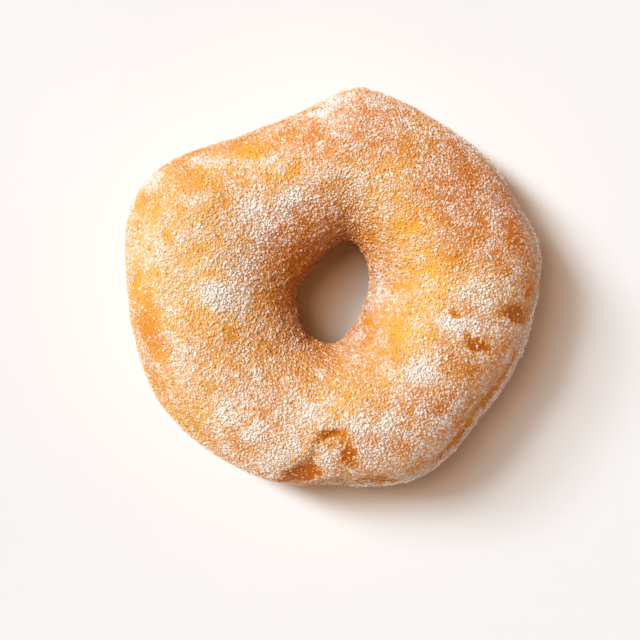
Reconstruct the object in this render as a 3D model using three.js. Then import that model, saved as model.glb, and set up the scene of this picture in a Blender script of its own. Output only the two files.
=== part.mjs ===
// A sugared ring doughnut: one ring of raised, fried dough that rests on its flattened underside.
// Millimetres, +Z up. The origin is under the middle of the ring, on the surface that it rests on.

import * as THREE from 'three';

// Overall sizes, measured over the sugar
const ringWidth = 90; // along X
const ringDepth = 86; // along Y
const ringHeight = 31; // at the highest swell of the crown

// The hole at its narrowest, half-way down
const holeWidth = 15;
const holeDepth = 21.6;
const holeCentre = new THREE.Vector2(-0.1, -1.3);

// The tube of dough in section
const waistHeight = 13; // where the ring is widest
const throatHeight = 15; // where the hole is narrowest
const crownFullness = 2.15; // 2 is a plain ellipse, and more is squarer
const baseFullness = 2.2;
const footPress = 0.8; // how far the round underside is pressed flat
const swellHeight = 1.4; // how much the crown rises and falls round the ring

// The frying line: a crease at the waist, over a lower rim that stands out beyond the crown
const rimReach = 2.2; // how far the rim stands out, where it does so most
const rimBearing = -45; // degrees round from +X
const rimSpread = 68; // degrees to each side, over which the rim dies away
const rimRounding = 14; // degrees round the tube, over which the rim's top steps in
const creaseDepth = 0.7;
const creaseTurn = 16; // degrees round the tube, above the waist
const creaseWidth = 9; // degrees round the tube, to each side

// The pinch where the ends of the dough were pressed together: a valley that runs down to the waist
const pinchTop = { bearing: -91, turn: 74 }; // degrees round the ring and round the tube
const pinchEnd = { bearing: -106, turn: 6 };
const pinchSpread = 8; // degrees round the ring, to each side
const pinchDepth = 1.8;

// The mesh
const sectionCount = 84;
const pointsPerSection = 38;
const waistDetail = 0.5; // how much closer the points stand at the waist than at the throat
const curveSamples = 720;

// The outer edge seen from above, anticlockwise from the right
const outlinePoints = [
  [44.8, 6], // bulge on the right
  [40.8, 16.5],
  [33.5, 27.6],
  [21.5, 36.6],
  [8.5, 42.5], // blunt corner at the top
  [3, 42.9],
  [-7.5, 38.5],
  [-21, 33], // straight slope down from the corner
  [-35, 27.2], // upper left shoulder
  [-43, 18.8],
  [-45.2, 6],
  [-43.2, -11],
  [-37.5, -25.6],
  [-26, -36.6],
  [-12, -42.3],
  [2, -43], // flattened edge at the bottom
  [15.5, -42.4],
  [25, -36.8],
  [34, -26],
  [41, -13.8],
];

// The edge of the hole about its own centre, anticlockwise from the right
const holePoints = [
  [6.8, 1.5],
  [5.9, 8],
  [1.8, 11], // narrow end, which leans to the right
  [-4.4, 5.2],
  [-7.7, -0.8],
  [-5.8, -8.4],
  [-0.3, -10.7],
  [4.2, -6],
];

const radians = THREE.MathUtils.degToRad;
const degrees = THREE.MathUtils.radToDeg;

// A smooth closed curve through points, scaled to a width and a depth about its own middle
function closedCurve(points, width, depth) {
  const knots = points.map(([x, y]) => new THREE.Vector3(x, y, 0));
  const curve = new THREE.CatmullRomCurve3(knots, true, 'catmullrom', 0.5);
  const samples = curve.getPoints(curveSamples).slice(0, curveSamples);
  const box = new THREE.Box3().setFromPoints(samples);
  const size = box.getSize(new THREE.Vector3());
  const middle = box.getCenter(new THREE.Vector3());
  return samples.map((p) => new THREE.Vector2(
    (p.x - middle.x) * width / size.x,
    (p.y - middle.y) * depth / size.y,
  ));
}

// How far a closed curve lies from a centre at a bearing
function reachAt(curve, centre, bearing) {
  const ahead = new THREE.Vector2(Math.cos(bearing), Math.sin(bearing));
  for (let i = 0; i < curve.length; i += 1) {
    const from = curve[i].clone().sub(centre);
    const to = curve[(i + 1) % curve.length].clone().sub(centre);
    const sideFrom = ahead.cross(from);
    const sideTo = ahead.cross(to);
    if (sideFrom <= 0 && sideTo > 0 && ahead.dot(from) > 0) {
      return ahead.dot(from.lerp(to, sideFrom / (sideFrom - sideTo)));
    }
  }
  throw new Error('the curve does not go round its centre');
}

// 1 at the middle, falling smoothly to 0 at a distance of spread or more, with angles in degrees
function bell(angle, middle, spread) {
  const turn = THREE.MathUtils.euclideanModulo(angle - middle + 180, 360) - 180;
  return Math.abs(turn) < spread ? Math.cos(turn / spread * Math.PI / 2) ** 2 : 0;
}

// A cosine or a sine made squarer by the fullness of a superellipse
function fuller(value, fullness) {
  return Math.sign(value) * Math.abs(value) ** (2 / fullness);
}

// How high the crown stands at a bearing: two slow swells, whose tops meet at the left
function crownHeight(bearing) {
  const swell = 0.6 * Math.cos(bearing - radians(165)) + 0.4 * Math.cos(3 * bearing - radians(135));
  return ringHeight - swellHeight * (1 - swell) / 2;
}

// How far the crown stands back from the rim under it
function stepBack(bearing, turn) {
  const share = bell(bearing, rimBearing, rimSpread);
  const step = rimReach * THREE.MathUtils.smoothstep(turn, 0, rimRounding);
  return share * (step + creaseDepth * bell(turn, creaseTurn, creaseWidth));
}

// How deep the pinch is: a valley with a round section, which fades out at both its ends
function pinch(bearing, turn) {
  const share = THREE.MathUtils.inverseLerp(pinchEnd.turn, pinchTop.turn, turn);
  const along = THREE.MathUtils.clamp(share, 0, 1);
  const middle = THREE.MathUtils.lerp(pinchEnd.bearing, pinchTop.bearing, along);
  return pinchDepth * Math.sin(Math.PI * along) * bell(bearing, middle, pinchSpread);
}

// A point of the tube's section: a superellipse whose foot is pressed flat. The turn round the
// tube, in degrees, is 0 at the waist, 90 at the crown and -90 at the foot.
function sectionPoint(bearing, turn, throat, waist) {
  const upper = turn > 0;
  const outer = Math.abs(turn) < 90;
  const fullness = upper ? crownFullness : baseFullness;
  const across = fuller(Math.cos(radians(turn)), fullness);
  const up = fuller(Math.sin(radians(turn)), fullness);
  const level = outer ? waistHeight : throatHeight;
  const rise = upper ? crownHeight(radians(bearing)) - level : level + footPress;
  const dent = pinch(bearing, turn);
  const half = (waist - throat) / 2 - dent - (outer ? stepBack(bearing, turn) : 0);
  return {
    reach: (throat + waist) / 2 + half * across,
    height: Math.max(0, level + (rise - dent) * up),
  };
}

// The ring: sections at equal bearings round the hole, joined to each other round both ways
function ringGeometry() {
  const outline = closedCurve(outlinePoints, ringWidth, ringDepth);
  const hole = closedCurve(holePoints, holeWidth, holeDepth).map((p) => p.add(holeCentre));
  const positions = [];
  const faces = [];
  for (let i = 0; i < sectionCount; i += 1) {
    const bearing = i / sectionCount * 2 * Math.PI;
    const waist = reachAt(outline, holeCentre, bearing);
    const throat = reachAt(hole, holeCentre, bearing);
    for (let j = 0; j < pointsPerSection; j += 1) {
      const share = (2 * j / pointsPerSection - 1) * Math.PI;
      const turn = degrees(share - waistDetail * Math.sin(share));
      const point = sectionPoint(degrees(bearing), turn, throat, waist);
      positions.push(
        holeCentre.x + point.reach * Math.cos(bearing),
        holeCentre.y + point.reach * Math.sin(bearing),
        point.height,
      );
      const nextI = (i + 1) % sectionCount;
      const nextJ = (j + 1) % pointsPerSection;
      const a = i * pointsPerSection + j;
      const b = nextI * pointsPerSection + j;
      const c = nextI * pointsPerSection + nextJ;
      const d = i * pointsPerSection + nextJ;
      faces.push(a, b, c, a, c, d);
    }
  }
  const geometry = new THREE.BufferGeometry();
  geometry.setAttribute('position', new THREE.Float32BufferAttribute(positions, 3));
  geometry.setIndex(faces);
  geometry.computeVertexNormals();
  return geometry;
}

const crust = { color: 0xd9a066, roughness: 0.75, metalness: 0 };
const sugaredCrust = new THREE.MeshStandardMaterial(crust);
const ring = new THREE.Mesh(ringGeometry(), sugaredCrust);
ring.name = 'dough_ring';

const doughnut = new THREE.Group();
doughnut.add(ring);

export default doughnut;
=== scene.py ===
import math
import bpy
import numpy as np
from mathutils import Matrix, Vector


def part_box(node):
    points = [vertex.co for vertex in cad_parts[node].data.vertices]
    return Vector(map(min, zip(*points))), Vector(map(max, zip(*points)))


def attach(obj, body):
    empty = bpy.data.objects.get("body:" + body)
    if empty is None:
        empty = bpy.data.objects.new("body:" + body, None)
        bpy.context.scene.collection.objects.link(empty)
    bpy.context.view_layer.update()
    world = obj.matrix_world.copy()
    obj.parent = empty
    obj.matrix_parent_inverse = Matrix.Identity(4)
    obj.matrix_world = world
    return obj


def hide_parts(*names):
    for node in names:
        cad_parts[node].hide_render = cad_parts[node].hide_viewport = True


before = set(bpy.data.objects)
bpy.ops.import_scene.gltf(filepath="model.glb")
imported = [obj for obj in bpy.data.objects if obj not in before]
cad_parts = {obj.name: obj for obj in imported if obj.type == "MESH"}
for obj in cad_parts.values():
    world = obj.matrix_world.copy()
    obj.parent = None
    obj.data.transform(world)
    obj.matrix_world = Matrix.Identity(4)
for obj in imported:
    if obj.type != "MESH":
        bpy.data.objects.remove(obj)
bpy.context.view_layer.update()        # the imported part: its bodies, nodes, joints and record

ringLow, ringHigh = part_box("dough_ring")
mm = 0.001                          # lengths below are in millimetres, and the meshes in metres
print("frame: dough_ring is", [round(v / mm, 2) for v in ringHigh - ringLow], "mm")


def closedCurve(points, width, depth, count=1440):
    # Catmull-Rom through the points, scaled to a width and a depth about its own middle
    knots = np.array(points, float)
    place = np.linspace(0, len(knots), count, endpoint=False)
    at = place.astype(int)
    share = (place - at)[:, None]
    before, start, end, after = (knots[(at + step) % len(knots)] for step in (-1, 0, 1, 2))
    curve = start + 0.5 * share * (end - before + share * (
        2 * before - 5 * start + 4 * end - after + share * (3 * (start - end) + after - before)))
    low, high = curve.min(0), curve.max(0)
    return (curve - (low + high) / 2) * (width, depth) / (high - low)


def reachAt(curve, centre, bearing):
    # how far the curve lies from the centre, at bearings in degrees
    away = curve - centre
    angle = np.degrees(np.arctan2(away[:, 1], away[:, 0]))
    order = np.argsort(angle)
    return np.interp(bearing, angle[order], np.hypot(*away.T)[order], period=360)


def bell(angle, middle, spread):
    # squared cosine: 1 at the middle, 0 from the spread on, with angles in degrees
    turn = (angle - middle + 180) % 360 - 180
    return np.where(abs(turn) < spread, np.cos(turn / spread * math.pi / 2) ** 2, 0)


def smoothStep(value, low, high):
    # 0 below low, 1 above high, and three squares less two cubes of the share between
    share = np.clip((value - low) / (high - low), 0, 1)
    return share * share * (3 - 2 * share)


def fuller(value, fullness):
    # a sine or cosine raised to 2 / fullness, with its sign kept
    return np.sign(value) * abs(value) ** (2 / fullness)


def noise(points, size, seed, layers=1):
    # random values on a lattice blended by a smooth step, each layer half the size and the strength
    total = 0
    for layer in range(layers):
        table = np.random.default_rng(seed + layer).uniform(-1, 1, (32, 32, 32))
        cell = points * (2 ** layer / size)
        corner = np.floor(cell).astype(int)
        share = cell - corner
        share = share * share * (3 - 2 * share)
        for step in np.ndindex(2, 2, 2):
            weight = np.prod(np.where(step, share, 1 - share), axis=-1)
            x, y, z = np.moveaxis((corner + step) % 32, -1, 0)
            total = total + weight * table[x, y, z] / 2 ** layer
    return total


def waver(places, waves, layers=2):
    # noises added up, each with its size, strength and seed
    return sum(strength * noise(places, size, seed, layers) for size, strength, seed in waves)


def patches(x, y, spots):
    # soft ovals on the plan, added up: each is e to the minus of the cubed distance over its half sizes
    total = 0
    for middleX, middleY, halfLong, halfWide, tilt, amount in spots:
        cosine, sine = math.cos(math.radians(tilt)), math.sin(math.radians(tilt))
        along = ((x - middleX) * cosine + (y - middleY) * sine) / halfLong
        aside = ((y - middleY) * cosine - (x - middleX) * sine) / halfWide
        total = total + amount * np.exp(-(along ** 2 + aside ** 2) ** 1.5)
    return total


def unit(vectors):
    # each vector over its own length
    return vectors / np.maximum(np.linalg.norm(vectors, axis=-1, keepdims=True), 1e-12)


def makeMesh(name, places, faces, uv):
    # places in millimetres, faces with four corners, uv for each corner
    mesh = bpy.data.meshes.new(name)
    mesh.vertices.add(len(places))
    mesh.vertices.foreach_set("co", (places * mm).astype(np.float32).ravel())
    mesh.loops.add(faces.size)
    mesh.loops.foreach_set("vertex_index", faces.astype(np.int32).ravel())
    mesh.polygons.add(len(faces))
    mesh.polygons.foreach_set("loop_start", np.arange(0, faces.size, 4, dtype=np.int32))
    mesh.update(calc_edges=True)
    mesh.uv_layers.new(name="OFBake").uv.foreach_set("vector", uv.astype(np.float32).ravel())
    piece = bpy.data.objects.new(name, mesh)
    bpy.context.scene.collection.objects.link(piece)
    return piece


def addValue(piece, name, values):
    # one number for each vertex, which a finish reads by name
    layer = piece.data.attributes.new(name, "FLOAT", "POINT")
    layer.data.foreach_set("value", values.astype(np.float32).ravel())


class Wire:
    # a socket that can be reckoned with: each operator adds a Math node

    def __init__(self, finish, socket):
        self.finish, self.socket = finish, socket

    def maths(self, operation, first, second):
        settings = {"operation": operation}
        return self.finish.node("ShaderNodeMath", settings, {0: first, 1: second})

    def __add__(self, other):
        return self.maths("ADD", self, other)

    __radd__ = __add__

    def __sub__(self, other):
        return self.maths("SUBTRACT", self, other)

    def __rsub__(self, other):
        return self.maths("SUBTRACT", other, self)

    def __mul__(self, other):
        return self.maths("MULTIPLY", self, other)

    __rmul__ = __mul__

    def between(self, low, high):
        # 0 below low, 1 above high, and a smooth step from one to the other
        settings = {"interpolation_type": "SMOOTHSTEP"}
        sockets = {"Value": self, "From Min": low, "From Max": high}
        return self.finish.node("ShaderNodeMapRange", settings, sockets)


class Nodes:
    # a tree of nodes, every one of which is made by node

    def __init__(self, tree):
        self.tree = tree
        self.tree.nodes.clear()

    def setStops(self, ramp, stops):
        # a new ramp has two stops already
        while len(ramp.elements) < len(stops):
            ramp.elements.new(1)
        for element, (position, shade) in zip(ramp.elements, stops):
            element.position, element.color = position, shade

    def node(self, kind, settings=None, sockets=None, output=None):
        # settings go first, since they decide which sockets there are
        made = self.tree.nodes.new(kind)
        for name, value in (settings or {}).items():
            if name == "stops":
                self.setStops(made.color_ramp, value)
            else:
                setattr(made, name, value)
        for name, value in (sockets or {}).items():
            if isinstance(name, str):
                socket = next(s for s in made.inputs if s.name == name and s.enabled)
            else:
                socket = made.inputs[name]
            if isinstance(value, Wire):
                self.tree.links.new(value.socket, socket)
            else:
                socket.default_value = value
        shown = [s for s in made.outputs if s.enabled and (output is None or s.name == output)]
        return Wire(self, shown[0]) if shown else None


class Finish(Nodes):
    # a material and the nodes that make it

    def __init__(self, name):
        self.material = bpy.data.materials.new(name)
        self.material.use_nodes = True
        super().__init__(self.material.node_tree)

    def noise(self, size, detail=2.0, **more):
        # grey noise whose lumps are about size millimetres across
        place = self.node("ShaderNodeTexCoord", output="Object")
        sockets = {"Vector": place, "Scale": 1 / (size * mm), "Detail": detail, **more}
        return self.node("ShaderNodeTexNoise", None, sockets, "Fac")

    def value(self, name):
        return self.node("ShaderNodeAttribute", {"attribute_name": name}, output="Fac")

    def mix(self, share, first, second):
        settings = {"data_type": "RGBA"}
        return self.node("ShaderNodeMix", settings, {"Factor": share, "A": first, "B": second})

    def close(self, sockets, **fixed):
        shader = self.node("ShaderNodeBsdfPrincipled", None, {**sockets, **fixed})
        self.node("ShaderNodeOutputMaterial", None, {"Surface": shader})
        return self.material


def colour(red, green, blue):
    # a colour as it looks on a screen, from 0 to 255, as the linear one that a shader takes
    share = np.array([red, green, blue]) / 255
    linear = np.where(share > 0.04045, ((share + 0.055) / 1.055) ** 2.4, share / 12.92)
    return (*linear.tolist(), 1.0)


ring = {
    "outline": [
        (44.8, 6), (40.8, 16.5), (33.5, 27.6), (21.5, 36.6), (8.5, 42.5), (3, 42.9), (-7.5, 38.5),
        (-21, 33), (-35, 27.2), (-43, 18.8), (-45.2, 6), (-43.2, -11), (-37.5, -25.6),
        (-26, -36.6), (-12, -42.3), (2, -43), (15.5, -42.4), (25, -36.8), (34, -26), (41, -13.8),
    ],
    "hole": [
        (6.8, 1.5), (5.9, 8), (1.8, 11), (-4.4, 5.2), (-7.7, -0.8), (-5.8, -8.4), (-0.3, -10.7),
        (4.2, -6),
    ],
    "holeCentre": (-0.1, -1.3),
    "holeSize": (15, 21.6),         # width and depth
    "waistHeight": 13,              # where the ring is widest
    "throatHeight": 15,             # where the hole is narrowest
    "crownFullness": 2.15,          # 2 is an ellipse, more is squarer
    "throatEase": 0.4,              # how much less square the crown is towards the hole
    "baseFullness": 2.2,
    "footPress": 0.8,               # how much of the base is pressed flat
    "swellHeight": 1,               # how far the crown's height rises and falls round the ring
    "swells": [(0.6, 1, 165), (0.4, 3, 45)],    # share, waves round the ring and bearing of a top
    "sugarRoom": 0.32,              # the crust lies this far inside the sugar's outer size
    "sink": 0.35,                   # and this much further, before it gets its lumps
    "rimReach": 1.9,                # how far the lower rim stands out beyond the crown
    "rimBearing": -42,
    "rimSpread": 75,
    "rimRounding": 10,              # degrees round the tube from the rim to the crown
    "creaseDepth": 0.1,             # the bare crease that is pressed in above the rim
    "creaseTurn": 8,                # degrees round the tube, up from the widest line
    "creaseWidth": 5.5,
    "farSide": (-25, 115),          # bearing and spread of the side that the lamps don't reach
    "lipTurn": -2,                  # the sugared lip along the widest line of that side
    "lipWidth": 11,
    "lipWander": [(7, 7, 53)],      # how it strays: size, degrees up and down, and seed
    "lipChange": [(4, 1.1, 57)],    # how its thickness changes: size, strength and seed
    "lipThickness": 0.7,
    "bareCrease": [(-38, 32, 1), (-77, 12, 0.8), (102, 14, 0.5)],   # bearing, spread and share bare
    "farRims": [(104, 26, 0.9), (30, 45, 0.9)],     # fainter rims: bearing, spread and reach
    "fold": [
        (2.8, -30.1), (0, -29.9), (-2.2, -31.2), (-3.7, -32.9), (-4.3, -34.9), (-5.3, -36.6),
        (-7.4, -38.1), (-9.6, -39.9),
    ],
    "foldDepth": 0.45,
    "foldReach": 2.6,               # how far from its line the fold levels out
    "lobeRise": 0.3,                # the end of the dough that lies over the fold
    "lobeReach": 4.5,
    "dents": [                      # x, y, half length, half width, tilt, depth
        (0.2, -31.1, 2.4, 1.2, 15, 0.3), (3, -35.1, 2.6, 1.5, -63, 0.3), (8.4, -40.6, 3, 0.7, -3, 0.3),
        (-6.1, -38.8, 3.2, 1.9, 25, 0.9), (29.9, -12.2, 2.5, 1.1, -32, 0.35),
        (37.4, -6, 2.6, 1.6, -20, 0.5), (25.4, -6, 1.6, 0.8, -15, 0.15), (16, 12, 2.4, 1.4, 30, 0.2),
    ],
    "lumps": [(16, 0.5, 11), (6, 0.16, 12), (2.2, 0.05, 13)],   # size, height and seed
    "throatLumps": [(1.7, 0.28, 17)],
    "edgeLumps": [(2, 0.25, 19)],
    "rows": 448,                    # points round the ring
    "columns": 220,                 # points round the tube
    "waistDetail": 0.35,            # how much closer together they are at the widest line
}


def farSide(bearing):
    # the root of a bell: 1 where the ring turns away from the lamps, 0 on their side
    return bell(bearing, *ring["farSide"]) ** 0.5


def edgeBand(places, turn, bearing):
    # the sugared lip of the rim on the side that the lamps don't reach, which wanders and thins out in
    # places, and whose sugar is painted whiter as painted light
    wander = waver(places, ring["lipWander"])
    thick = np.clip(ring["lipThickness"] + waver(places, ring["lipChange"]), 0.1, 1)
    return thick * bell(turn + wander, ring["lipTurn"], ring["lipWidth"]) * farSide(bearing)


def crownHeight(bearing, height):
    # cosine waves round the ring: the full height where all of them are at their tops
    swell = sum(
        share * np.cos(np.radians(waves * (bearing - top))) for share, waves, top in ring["swells"])
    return height - ring["swellHeight"] * (1 - swell) / 2


def stepBack(bearing, turn):
    # how far the crown stands back from the rim under it, with the crease between them
    near = bell(bearing, ring["rimBearing"], ring["rimSpread"])
    far = sum(bell(bearing, middle, spread) * reach for middle, spread, reach in ring["farRims"])
    step = ring["rimReach"] * smoothStep(turn, 0, ring["rimRounding"])
    crease = ring["creaseDepth"] * bell(turn, ring["creaseTurn"], ring["creaseWidth"])
    return (near + far / ring["rimReach"]) * (step + crease)


def ringPlaces(bearing, turn):
    # sections round the hole: superellipses with a foot that is pressed flat
    size = np.array(ringHigh - ringLow) / mm
    room = ring["sugarRoom"]
    centre = np.array(ring["holeCentre"])
    waist = reachAt(closedCurve(ring["outline"], *size[:2]), centre, bearing) - room
    throat = reachAt(closedCurve(ring["hole"], *ring["holeSize"]), (0, 0), bearing) + room
    upper, outer = turn > 0, abs(turn) < 90
    crown = ring["crownFullness"] - np.where(outer, 0, ring["throatEase"])
    fullness = np.where(upper, crown, ring["baseFullness"])
    across = fuller(np.cos(np.radians(turn)), fullness)
    up = fuller(np.sin(np.radians(turn)), fullness)
    level = np.where(outer, ring["waistHeight"], ring["throatHeight"])
    rise = np.where(upper, crownHeight(bearing, size[2] - room) - level, level + ring["footPress"])
    half = (waist - throat) / 2 - np.where(outer, stepBack(bearing, turn), 0)
    reach = (throat + waist) / 2 + half * across
    height = np.maximum(level + rise * up, room)
    angle = np.radians(bearing)
    middle = np.array(ringHigh + ringLow)[:2] / mm / 2 + centre
    return np.stack([middle[0] + reach * np.cos(angle), middle[1] + reach * np.sin(angle), height], -1)


def gridNormals(places):
    # the cross product of the steps along the two ways of the grid
    along = np.roll(places, -1, 0) - np.roll(places, 1, 0)
    aside = np.roll(places, -1, 1) - np.roll(places, 1, 1)
    return unit(np.cross(along, aside))


def foldHeight(x, y):
    # beside a bent line: a lobe on its left, and on its right a drop that rises again slowly,
    # each a smooth step times e to the minus of the squared distance over its reach
    nearest, side, share = np.full(x.shape, 1e9), np.zeros(x.shape), np.zeros(x.shape)
    points = np.array(ring["fold"])
    for i, (start, end) in enumerate(zip(points[:-1], points[1:])):
        step = end - start
        along = np.clip(((x - start[0]) * step[0] + (y - start[1]) * step[1]) / (step @ step), 0, 1)
        awayX, awayY = x - start[0] - along * step[0], y - start[1] - along * step[1]
        far = np.hypot(awayX, awayY)
        closer = far < nearest
        side = np.where(closer, np.sign(awayX * -step[1] + awayY * step[0]), side)
        share = np.where(closer, (i + along) / (len(points) - 1), share)
        nearest = np.minimum(far, nearest)
    signed = nearest * side         # below nought on the lobe's side
    fade = np.sin(math.pi * np.clip(share, 0.06, 0.94)) ** 0.5 * (nearest < 12)
    drop = np.exp(-(np.maximum(signed, 0) / ring["foldReach"]) ** 2) * smoothStep(signed, -0.9, 0.7)
    rise = np.exp(-(np.maximum(-signed, 0) / ring["lobeReach"]) ** 2) * smoothStep(-signed, 0.1, 1.2)
    height = ring["lobeRise"] * rise - ring["foldDepth"] * drop
    return fade * height, fade * np.exp(-(signed / 0.9) ** 2)


def crustGrid():
    # the ring with its fold, its dents and its unevenness: its places are moved along its normals
    bearing = np.linspace(-180, 180, ring["rows"], endpoint=False)[:, None]
    share = np.linspace(-math.pi, math.pi, ring["columns"], endpoint=False)[None, :]
    turn = np.degrees(share - ring["waistDetail"] * np.sin(share))
    bearing, turn = np.broadcast_arrays(bearing, turn)
    places = ringPlaces(bearing, turn)
    normals = gridNormals(places)
    x, y = places[..., 0], places[..., 1]
    top = smoothStep(turn, -2, 12) * smoothStep(-turn, -178, -160)
    edge = edgeBand(places, turn, bearing)
    fold, crease = foldHeight(x, y)
    dents = patches(x, y, ring["dents"])
    lumps = waver(places, ring["lumps"], 1)
    lumps = lumps + waver(places, ring["throatLumps"]) * bell(turn, 180, 80)
    lumps = lumps + waver(places, ring["edgeLumps"]) * edge
    height = lumps - ring["sink"] + top * (fold - dents)
    places = places + normals * height[..., None]
    places[..., 2] = np.maximum(places[..., 2], ring["sugarRoom"])
    return {
        "bearing": bearing, "turn": turn, "places": places, "normals": gridNormals(places),
        "edge": edge, "crease": top * crease,
    }


def gridFaces(rows, columns):
    # quads between neighbours, joined up round both ways, and their corners on the bake's map
    index = np.arange(rows * columns).reshape(rows, columns)
    right, above = np.roll(index, -1, 0), np.roll(index, -1, 1)
    faces = np.stack([index, right, np.roll(right, -1, 1), above], -1).reshape(-1, 4)
    i, j = np.meshgrid(np.arange(rows), np.arange(columns), indexing="ij")
    uv = np.stack([
        np.stack([i, i + 1, i + 1, i], -1) / rows, np.stack([j, j, j + 1, j + 1], -1) / columns,
    ], -1).reshape(-1, 2)
    return faces, uv


grid = crustGrid()


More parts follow.
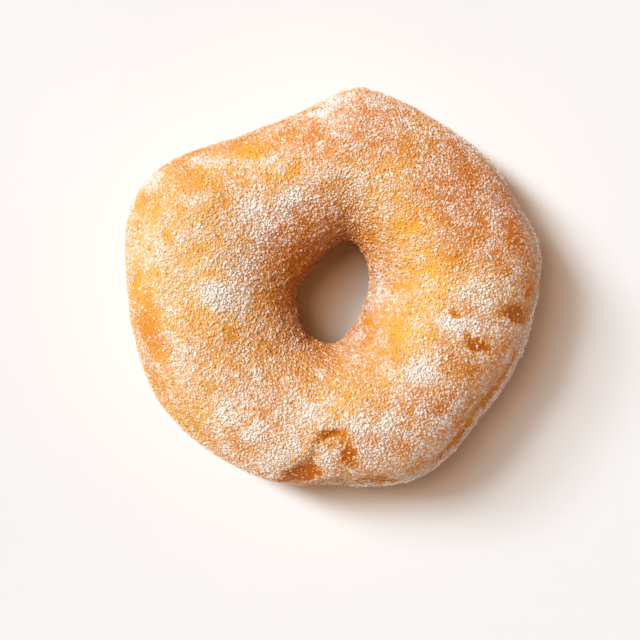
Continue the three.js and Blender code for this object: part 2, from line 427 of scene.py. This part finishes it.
sugar = {
    "grains": 140000,
    "sectors": 10,                  # the grains are made as this many pieces round the ring
    "edge": 0.33,                   # usual length of a grain
    "spread": 0.26,                 # how much the lengths differ, as a share
    "edgeLimits": (0.18, 0.6),      # shortest and longest
    "width": (0.72, 1),             # least and most, as shares of the length
    "thickness": (0.25, 0.5),
    "tall": 0.14,                   # share of grains that stand up
    "tallRise": 0.4,                # and how much thicker they are
    "jitter": 0.16,                 # how far a corner strays, as a share of the size
    "tilt": 0.09,                   # how far a grain leans from lying flat
    "rise": 0.05,                   # how far its middle lies over the crust, as a share of its thickness
    "heapFrom": 1.05,               # grains pile up where the sugar lies thicker than this
    "heapMost": 1.3,                # and no higher once it is this much thicker
    "heapHeight": 0.22,
    "roughHeight": 0.4,             # the piling on the lip
    "roughHole": 0.6,               # and the share of it in the hole
    "heapTone": 0.3,                # how much whiter a piled grain is for each millimetre
    "toneSpread": 0.26,             # how much the colour differs from one grain to the next
    "cellMargin": 0.15,             # room round each grain on the bake's map
    "drifts": [(9, 0.34, 21), (2.6, 0.44, 31)],     # thick and thin stretches: size, strength and seed
    "strayX": [(2.6, 1, 41), (0.9, 0.5, 45)],       # ragged edges: size, shift and seed
    "strayY": [(2.6, 1, 43), (0.9, 0.5, 47)],
    "strayCrease": [(1.4, 3, 49)],
    "onLip": 0.5,                   # how much more sugar lies on the rim's lip
    "onWaist": 0.15,                # along the widest line
    "inHole": 0.2,                  # and in the hole
    "offBase": 0.3,                 # how much less there is under the base
    "thinning": 0.78,               # the share that is gone from a bare spot
    "clearing": 0.88,               # and from a dark one
    "limits": (0.08, 3),            # least and most sugar
    "clumps": [                     # x, y, half length, half width, tilt, amount
        (-24, -2, 4.4, 2.8, -20, 1.7), (-21, 5, 4, 3, 60, 0.5), (-27, 11, 5, 4, 40, 0.5),
        (-36, 7, 5, 3, 10, 0.4), (-16, 14, 8, 4.5, -50, 0.6), (-9, 17.5, 2.4, 1.8, 0, 0.7),
        (-2, 23.5, 4, 2, 10, 0.4), (1.2, 38.9, 3, 1.2, 15, 1), (-2.4, 35.6, 1.6, 1.4, 0, 0.9),
        (-38, 22, 3, 2.4, 40, 0.8), (31, -1.5, 5, 3.4, 15, 0.9), (34, 10, 2.2, 3.4, 0, 0.5),
        (27.5, -8.4, 6, 1.8, -8, 1.2), (23, -7, 3, 2, 0, 0.5), (18, -18.5, 3, 2.4, 0, 1),
        (19, -28, 4, 2.8, 0, 0.6), (12, -28.5, 2.6, 2, 30, 1), (6, -29, 4, 2, 0, 0.6),
        (-16, -30.5, 2.6, 2.2, 0, 1), (-21, -26, 7, 4.6, 20, 0.7), (-31, -20, 5, 3.4, -40, 0.5),
        (-8, -27, 5, 3, 20, 0.6), (-10.5, -33.5, 2.6, 3.6, -30, 0.8), (-13.5, -38, 2, 2.6, -30, 0.9),
        (10, -36, 5, 3.4, 0, 0.3), (17, -32, 5, 4, 30, 0.4), (16, -32, 2, 2, 0, 0.4),
        (-2.5, -37, 2.4, 2.2, 20, 0.8), (-0.6, -34.2, 1.8, 1.4, 0, 0.5), (37, -9.4, 2.2, 1.8, 0, 0.7),
        (4, -12.6, 5, 1.8, 25, 0.2), (9, -4.5, 1.8, 3.6, -10, 0.3), (-30, -12, 3.4, 4, 0, 0.5),
        (-42, 10, 2, 4, 0, 0.4), (9, -41.6, 9, 1, 2, 0.6), (-36, -17, 2.4, 2.4, 0, 0.5),
        (-18, 2, 2.6, 5, 0, 0.6), (-14, 11, 2, 3, -40, 0.5), (-12, 25, 3, 1.6, 15, 0.5),
        (12, 14.5, 3, 1.6, 30, 0.5), (13, 27, 2.4, 3, 0, 0.3), (38.5, 3, 2, 2, 0, 0.4),
        (32, -5, 3, 1.6, 0, 0.7), (18, -9, 2.4, 2, 40, 0.5), (31, -13, 2, 2, 0, 0.3),
        (-8, -22, 2.4, 2.4, 0, 0.5), (-21, -26, 3, 3, 0, 0.4), (-30, -15, 3, 3, 0, 0.5),
        (-28, 25, 2.4, 1.8, 20, 0.5), (-41, 16, 2.4, 2, 0, 0.5), (-28, 16.5, 2, 1.6, 0, 0.4),
        (32, 7.5, 2, 2, 0, 0.5), (-10, 13, 1.6, 2, -40, 0.5), (-42, 18, 1.5, 1.5, 0, 0.6),
        (30, 29, 2.4, 2, -45, 0.4), (9, 2, 3, 5, 0, 0.3),
    ],
    "bare": [                       # the same, with the share that is bare
        (-18, 29, 5, 2.2, 10, 0.6), (-9, 32, 3.6, 2.2, 20, 0.5), (-3, 32, 2, 1.4, 0, 0.5),
        (-40, 17, 2, 3, 0, 0.6), (-30, 23.5, 4, 2, 20, 0.5), (-22, 16.5, 1.4, 1.2, 0, 0.6),
        (-39.5, -2, 3.4, 9, 4, 0.6), (-37, -12, 2.8, 6, 25, 0.6), (-21, -10, 2.8, 1.8, 0, 0.7),
        (-30, -29, 13, 2.4, -45, 0.45), (28, 20, 3, 3, 0, 0.4), (-37, 25, 2.5, 1.5, 35, 0.5),
        (-17, 27.5, 3, 1.4, 10, 0.4), (22, -5.5, 1.6, 1.6, 0, 0.5), (37, 9, 2, 2.4, 0, 0.7),
        (2, -22, 4, 2.4, 0, 0.35), (24, 18, 2, 1.6, 0, 0.4), (36, 12, 1.6, 3, 0, 0.5),
        (8, -13, 2, 1.4, 30, 0.4), (-10, 37.5, 2, 1, 20, 0.3), (-11, -34, 1.4, 1.4, 0, 0.3),
        (-14, -14, 5, 3, -30, 0.4), (16, 12, 2.6, 1.6, 30, 0.7), (24, 13, 1.8, 1.5, 0, 0.5),
        (30.5, 13, 1.6, 2, 0, 0.6), (20, 6.5, 2, 3, 30, 0.5), (12.5, -10.5, 2, 1.6, 0, 0.5),
        (21, -11, 1.4, 2, 0, 0.5), (7.5, -8, 1.2, 1, 0, 0.7), (5, -25, 3, 3, 0, 0.35),
        (22, -26, 2, 2.4, 0, 0.5), (15, 29, 4, 2.4, 0, 0.35), (26, 26, 5, 3.6, -45, 0.5),
        (3, 26, 3, 2.4, 0, 0.4), (35, -18, 2.4, 3, 0, 0.5), (-20, -18, 3, 2, 30, 0.4),
        (29.8, -17.8, 2.6, 0.8, 0, 0.7), (31.2, -0.3, 1, 0.6, 0, 0.7),
    ],
    "dark": [                       # bare and fried darker, where the dough was folded or pressed
        (-1, -31.3, 3, 1.4, 12, 0.9), (3.2, -35.2, 3.2, 1.9, -63, 0.9), (8.4, -40.8, 3.6, 0.8, -3, 0.9),
        (-5.9, -39, 3.4, 2, 25, 1.1), (29.9, -12.2, 3.3, 1.5, -32, 1),
        (37.8, -6, 3.6, 2, -20, 1.1), (41, -1.6, 3, 1, 80, 0.8), (25.2, -6, 1.7, 0.9, -15, 0.8),
        (-10.5, -40.6, 3, 1, 25, 0.7), (-3.1, 37.3, 2.1, 0.6, 20, 0.7), (-10, 35.1, 1.3, 0.5, 20, 0.6),
        (5.4, 39.1, 0.7, 1.2, -50, 0.6),
    ],
}


def strayed(places):
    # the plan with a small random shift, for ragged edges
    x = places[..., 0] + waver(places, sugar["strayX"], 1)
    y = places[..., 1] + waver(places, sugar["strayY"], 1)
    return x, y


def darkAmount(places, turn):
    # the dark bare spots, with ragged edges, on the upper half only
    x, y = strayed(places)
    return np.clip(smoothStep(turn, -2, 6) * patches(x, y, sugar["dark"]), 0, 1)


def creaseAmount(places, turn, bearing):
    # the bare golden crease above the rim: a bell round the tube for each stretch round the ring
    stretches = ring["bareCrease"]
    share = sum(part * bell(bearing, middle, spread) ** 0.5 for middle, spread, part in stretches)
    turn = turn + waver(places, sugar["strayCrease"], 1)
    return share * bell(turn, ring["creaseTurn"], ring["creaseWidth"])


def sugarAmount(places, turn, bearing, edge):
    # how thickly the sugar lies: noise about one, more on the clumps, and a share of that on bare spots
    x, y = strayed(places)
    top = smoothStep(turn, -4, 10)
    amount = 1 + waver(places, sugar["drifts"])
    amount = amount + sugar["onLip"] * edge + sugar["onWaist"] * bell(turn, 2, 20)
    amount = amount + sugar["inHole"] * bell(turn, 180, 60) - sugar["offBase"] * bell(turn, -90, 60)
    amount = amount + top * patches(x, y, sugar["clumps"])
    bare = top * patches(x, y, sugar["bare"])
    dark = darkAmount(places, turn) + creaseAmount(places, turn, bearing)
    thinned = 1 - sugar["thinning"] * smoothStep(bare, 0.1, 0.9)
    cleared = 1 - sugar["clearing"] * smoothStep(dark, 0.08, 0.8)
    return np.clip(amount * thinned * cleared, *sugar["limits"])


grid["sugar"] = sugarAmount(grid["places"], grid["turn"], grid["bearing"], grid["edge"])
print("crust:", grid["places"].shape[0], "by", grid["places"].shape[1], "points")


crustLook = {
    "gold": colour(240, 170, 54),
    "brown": colour(206, 117, 34),
    "dark": colour(192, 98, 8),
    "mottle": 7,                    # sizes of the patterns, from the broadest change of colour
    "speckle": 1.1,
    "relief": 0.7,
    "grain": 0.42,                  # to the finest sugar
    "bumpHeight": 0.08,
    "fried": 0.5,                   # how brown the crust usually is, from 0 to 1
    "friedDrifts": [(13, 0.22, 51)],        # and how that changes: size, strength and seed
    "paleBase": 0.1,                # how much more golden it is on the base
    "paleWaist": 0.35,              # and along the widest line on the left
    "paintedHoleShade": 0.35,              # how much browner it is in the hole: painted shade on its walls
    "creaseDark": 0.4,              # how dark the fold's line is
    "dusted": 0.8,                  # how much of the crust fine sugar hides
    "friedAndPaintedLightSpots": [                 # x, y, half length, half width, tilt, amount: frying, partly painted shade where the ring turns from the lamps and painted light where it faces them
        (-31, 2, 13, 12, 80, -0.3), (-26, 20, 12, 6, 25, -0.15), (16, -2, 8, 11, 0, -0.4),
        (27, 21, 13, 11, -45, 0.3), (39, 6, 6, 13, 0, 0.35), (28, -27, 12, 8, 45, 0.15),
        (-2, 31, 16, 7, 8, 0.35), (4, -36, 12, 6, 0, 0.2), (-8, 11, 10, 6, 40, 0.4),
        (9, 35, 9, 6, -35, 0.3),
    ],
}


sugarLook = {
    "gold": colour(246, 190, 99),       # a grain that lets the golden crust show through
    "brown": colour(230, 147, 68),      # and one on brown crust
    "white": colour(255, 243, 231),     # a grain on a heap of others
    "thin": 0.22,                       # how white the sugar is where it lies thinly, from 0 to 1
    "thick": 0.46,                      # how much whiter where there is as much again
    "lipWhiteAndPaintedLight": 0.4,                         # and on the rim's lip: thicker sugar, and painted light on a rim that sits in shade
    "waist": 0.1,                       # along the widest line
    "farSide": 0.05,                    # and round it on the side that the lamps don't reach: painted light
    "hole": 0.32,                       # how much less white in the hole: painted shade on its walls
    "holeShadeChange": 0.1,                  # how much that painted shade changes round it
    "holeShadeBearing": 150,                 # and where it is least white: painted shade on the wall that faces away from the lamps
}


def friedAndPaintedLightAmount(places, turn):
    # 0 where the crust is golden and 1 where it is brown: noise, spots, and bells round the tube, with
    # the spots and the hole's bell partly painted light and shade
    x, y = places[..., 0], places[..., 1]
    top = smoothStep(turn, -10, 12)
    fried = crustLook["fried"] + waver(places, crustLook["friedDrifts"])
    # painted light and shade: the spots brown the slopes that turn from the lamps and pale those facing
    # them, beside real frying
    fried = fried - crustLook["paleBase"] * (1 - top) + top * patches(x, y, crustLook["friedAndPaintedLightSpots"])
    waist = bell(turn, 4, 30) * bell(np.degrees(np.arctan2(y, x)), 180, 75)
    # painted shade: the crust in the hole is made browner
    hole = bell(turn, 176, 72)
    return np.clip(fried - crustLook["paleWaist"] * waist + crustLook["paintedHoleShade"] * hole, 0, 1)


def sugarTone(amount, edge, turn, bearing):
    # 0 where the sugar shows the crust's colour and 1 where it is white: it grows with the amount, with
    # painted light on the lip and painted shade in the hole
    # painted light: sugar on the lip and on the side that the lamps don't reach is made whiter
    lipWhiteAndPaintedLight = sugarLook["lipWhiteAndPaintedLight"] * edge + sugarLook["waist"] * bell(turn, 2, 20)
    lipWhiteAndPaintedLight = lipWhiteAndPaintedLight + sugarLook["farSide"] * bell(turn, 0, 34) * farSide(bearing)
    # painted shade: the sugar in the hole is made less white, most on the wall that faces away from the
    # lamps
    away = np.radians(bearing - sugarLook["holeShadeBearing"])
    hole = sugarLook["hole"] + sugarLook["holeShadeChange"] * np.cos(away)
    thick = np.clip(amount - 0.75, -0.5, 1.5)
    return sugarLook["thin"] + sugarLook["thick"] * thick + lipWhiteAndPaintedLight - hole * bell(turn, 182, 85)


grid["dark"] = darkAmount(grid["places"], grid["turn"])
grid["fried"] = friedAndPaintedLightAmount(grid["places"], grid["turn"])
grid["tone"] = sugarTone(grid["sugar"], grid["edge"], grid["turn"], grid["bearing"])


def sugarBody(finish, change):
    # sugar's colour, from the crust's own to white
    below = finish.mix(finish.value("fried").between(0.1, 0.9), sugarLook["gold"], sugarLook["brown"])
    return finish.mix((finish.value("tone") + change * 0.3).between(0, 1), below, sugarLook["white"])


def crustFinish():
    # gold to brown with mottling, dark where it is bare, and dusted with sugar too fine to model
    finish = Finish("fried_crust")
    mottle = finish.noise(crustLook["mottle"], 3)
    speckle = finish.noise(crustLook["speckle"], 2)
    grain = finish.noise(crustLook["grain"], 2)
    fried = finish.value("fried") + (mottle - 0.5) * 0.7 + (speckle - 0.5) * 0.35
    body = finish.mix(fried.between(0.1, 0.9), crustLook["gold"], crustLook["brown"])
    dark = finish.value("dark") + (speckle - 0.5) * 0.5
    body = finish.mix(dark.between(0.1, 0.9), body, crustLook["dark"])
    dusted = (grain.between(0.35, 0.65) * 0.4 + 0.5) * finish.value("dusting")
    body = finish.mix(dusted, body, sugarBody(finish, grain - 0.5))
    rough = 0.5 + speckle * 0.2 + dusted * 0.2
    relief = finish.noise(crustLook["relief"], 3) * 0.6 + grain * 0.4
    bump = finish.node("ShaderNodeBump", None, {
        "Strength": 0.6, "Distance": crustLook["bumpHeight"] * mm, "Height": relief,
    })
    return finish.close({
        "Base Color": body, "Roughness": rough, "Normal": bump, "Subsurface Weight": 0.1,
        "Subsurface Radius": (1.0, 0.45, 0.15), "Subsurface Scale": 1.2 * mm, "IOR": 1.4,
        "Specular IOR Level": 0.22,
    })


def makeCrust():
    # the grid as one closed mesh, with the values that its finish reads
    rows, columns = grid["turn"].shape
    faces, uv = gridFaces(rows, columns)
    crust = makeMesh("crust", grid["places"].reshape(-1, 3), faces, uv)
    crust.data.shade_smooth()
    addValue(crust, "fried", grid["fried"])
    dark = np.clip(grid["dark"] + grid["crease"] * crustLook["creaseDark"], 0, 1)
    dusting = smoothStep(grid["sugar"], -0.1, 1.9) * crustLook["dusted"] * (1 - 0.8 * dark)
    addValue(crust, "dark", dark)
    addValue(crust, "dusting", dusting)
    addValue(crust, "tone", grid["tone"])
    crust.data.materials.append(crustFinish())
    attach(crust, "root")
    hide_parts("dough_ring")


makeCrust()
print("crust: made")


def sugarFinish():
    # smooth grains, each of its own tint
    finish = Finish("sugar_grains")
    body = sugarBody(finish, finish.noise(0.3, 1) - 0.5)
    return finish.close({"Base Color": body, "Roughness": 0.26, "IOR": 1.5, "Specular IOR Level": 0.35})


def grainPlaces(rng, count):
    # grains fall on the crust's quads by their area and the sugar's amount, at random inside each
    places, amount = grid["places"], grid["sugar"]
    right, above = np.roll(places, -1, 0), np.roll(places, -1, 1)
    area = np.linalg.norm(np.cross(right - places, above - places), axis=-1)
    heap = np.cumsum((area * amount).ravel())
    chosen = np.searchsorted(heap, rng.random(count) * heap[-1])
    i, j = np.unravel_index(np.sort(chosen), area.shape)
    nextI, nextJ = (i + 1) % area.shape[0], (j + 1) % area.shape[1]
    along, across = rng.random((2, count, 1))
    near = places[i, j] * (1 - along) + places[nextI, j] * along
    far = places[i, nextJ] * (1 - along) + places[nextI, nextJ] * along
    spot = near * (1 - across) + far * across
    return {
        "spot": spot, "normal": grid["normals"][i, j], "amount": amount[i, j],
        "fried": grid["fried"][i, j], "tone": grid["tone"][i, j], "around": i / area.shape[0],
        "rough": grid["edge"][i, j] + sugar["roughHole"] * bell(grid["turn"][i, j], 180, 60),
    }


def grainBoxes(rng, lie):
    # boxes of jittered corners, which lie nearly flat on the crust or on other grains: each corner is
    # the middle plus its share of the three sizes, along three axes square to each other
    count = len(lie["spot"])
    edge = sugar["edge"] * np.exp(rng.normal(0, sugar["spread"], (count, 1)))
    edge = np.clip(edge, *sugar["edgeLimits"])
    tall = rng.random(count) < sugar["tall"]
    high = rng.uniform(*sugar["thickness"], count) + sugar["tallRise"] * tall
    size = edge * np.stack([np.ones(count), rng.uniform(*sugar["width"], count), high], -1)
    up = unit(lie["normal"] + rng.normal(0, sugar["tilt"], (count, 3)))
    along = unit(np.cross(up, rng.normal(0, 1, (count, 3))))
    aside = np.cross(up, along)
    heap = np.clip(lie["amount"] - sugar["heapFrom"], 0, sugar["heapMost"]) * sugar["heapHeight"]
    heaped = rng.random(count) ** 3 * (heap + lie["rough"] * sugar["roughHeight"])
    centre = lie["spot"] + lie["normal"] * (size[:, 2:] * sugar["rise"] + heaped[:, None])
    square = ((-1, -1), (1, -1), (1, 1), (-1, 1))
    corners = np.array([(x, y, z) for z in (-1, 1) for x, y in square]) / 2
    shaken = 1 + sugar["jitter"] * rng.uniform(-1, 1, (count, 8, 3))
    shaped = corners[None] * size[:, None, :] * shaken
    axes = np.stack([along, aside, up], 1)
    placed = centre[:, None, :] + shaped @ axes
    placed[..., 2] -= np.minimum(placed[..., 2].min(1, keepdims=True), 0)     # none below the table
    return placed, heaped


def makeSugar():
    # one mesh for each sector round the ring, where each grain has its own cell on the bake's map
    rng = np.random.default_rng(5)
    lie = grainPlaces(rng, sugar["grains"])
    boxes, heaped = grainBoxes(rng, lie)
    tone = lie["tone"] + sugar["heapTone"] * heaped + rng.normal(0, sugar["toneSpread"], len(heaped))
    fried = lie["fried"] + rng.normal(0, sugar["toneSpread"], len(heaped))
    finish = sugarFinish()
    sides = np.array([(0, 3, 2, 1), (4, 5, 6, 7), (0, 1, 5, 4), (1, 2, 6, 5), (2, 3, 7, 6), (3, 0, 4, 7)])
    margin = sugar["cellMargin"]
    square = margin + (1 - 2 * margin) * np.array([(0, 0), (1, 0), (1, 1), (0, 1)])
    sector = (lie["around"] * sugar["sectors"]).astype(int)
    for k in range(sugar["sectors"]):
        mine = sector == k
        count = int(mine.sum())
        faces = (np.arange(count)[:, None, None] * 8 + sides[None]).reshape(-1, 4)
        cells = math.ceil(math.sqrt(count))
        cell = np.stack(np.divmod(np.arange(count), cells), -1)
        uv = (cell[:, None, None, :] + square[None, None]) / cells
        uv = np.broadcast_to(uv, (count, 6, 4, 2)).reshape(-1, 2)
        piece = makeMesh(f"sugar_{k + 1}", boxes[mine].reshape(-1, 3), faces, uv)
        addValue(piece, "tone", np.repeat(np.clip(tone[mine], 0, 1), 8))
        addValue(piece, "fried", np.repeat(np.clip(fried[mine], 0, 1), 8))
        piece.data.materials.append(finish)
        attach(piece, "root")
        print("sugar:", piece.name, count, "grains")


makeSugar()


studio = {
    "frameWidth": 137.2,            # how wide a stretch of the ring's level the camera takes in
    "lens": 100,
    "aim": (-2.8, -7.2),            # where the camera looks, from the middle of the ring
    "lampBearing": 150,             # degrees round from +X, where the light comes from
    "lamps": [                      # degrees above the table, power and colour: one tall window
        (38, 1.58, (0.75, 0.87, 1)), (51, 1.95, (0.82, 0.93, 1)), (63, 0.62, (0.82, 0.97, 1)),
        (75, 0.45, (1, 0.74, 0.48)),
    ],
    "fills": [                      # low pale light: height, bearing, power, spread and colour
        (6, 20, 0.45, 30, (1, 0.95, 0.88)), (6, -85, 0.6, 30, (1, 0.95, 0.88)),
    ],
    "lampSpread": 13,               # degrees across, for soft edges to the shadows
    "sky": [                        # sine of the height above the table, and the light from there
        (0.13, (0.93, 0.92, 0.915, 1)), (0.2, (0.04, 0.035, 0.03, 1)), (0.85, (0.04, 0.035, 0.03, 1)),
        (0.95, (0.6, 0.18, 0.03, 1)),
    ],
    "table": colour(236, 233, 231),
    "tableRoughness": 0.7,
    "tableWidth": 12000,
}


def makeTable():
    # a flat sheet at the height of the ring's foot
    half = studio["tableWidth"] / 2
    places = np.array([(-half, -half, 0), (half, -half, 0), (half, half, 0), (-half, half, 0)])
    uv = np.array([(0, 0), (1, 0), (1, 1), (0, 1)])
    table = makeMesh("table", places, np.array([[0, 1, 2, 3]]), uv)
    finish = Finish("pale_table")
    look = {"Base Color": studio["table"], "Roughness": studio["tableRoughness"]}
    table.data.materials.append(finish.close(look))


def makeLamp(height, bearing, power, spread, shade):
    # light from afar, from a height and a bearing in degrees
    lamp = bpy.data.lights.new("lamp", "SUN")
    lamp.energy, lamp.angle, lamp.color = power, math.radians(spread), shade
    holder = bpy.data.objects.new("lamp", lamp)
    holder.rotation_euler = (0, math.radians(90 - height), math.radians(bearing))
    bpy.context.scene.collection.objects.link(holder)


def makeLight():
    # the lamps, the low light and a sky that is bright only near the table and straight above
    for height, power, shade in studio["lamps"]:
        makeLamp(height, studio["lampBearing"], power, studio["lampSpread"], shade)
    for fill in studio["fills"]:
        makeLamp(*fill)
    world = bpy.data.worlds.new("sky")
    world.use_nodes = True
    bpy.context.scene.world = world
    sky = Nodes(world.node_tree)
    place = sky.node("ShaderNodeTexCoord", output="Generated")
    height = sky.node("ShaderNodeSeparateXYZ", None, {"Vector": place}, "Z")
    light = sky.node("ShaderNodeValToRGB", {"stops": studio["sky"]}, {"Fac": height}, "Color")
    background = sky.node("ShaderNodeBackground", None, {"Color": light})
    sky.node("ShaderNodeOutputWorld", None, {"Surface": background})


def makeCamera():
    # straight above, as far away as the lens needs to take in the frame's width
    camera = bpy.data.cameras.new("camera")
    camera.lens = studio["lens"]
    holder = bpy.data.objects.new("camera", camera)
    middle = (ringLow + ringHigh) / 2
    away = studio["frameWidth"] * camera.lens / camera.sensor_width
    holder.location = (
        middle.x + studio["aim"][0] * mm, middle.y + studio["aim"][1] * mm,
        (ring["waistHeight"] + away) * mm)
    bpy.context.scene.collection.objects.link(holder)
    bpy.context.scene.camera = holder


makeTable()
makeLight()
makeCamera()
bpy.context.scene.view_settings.view_transform = "Standard"
print("studio: ready")
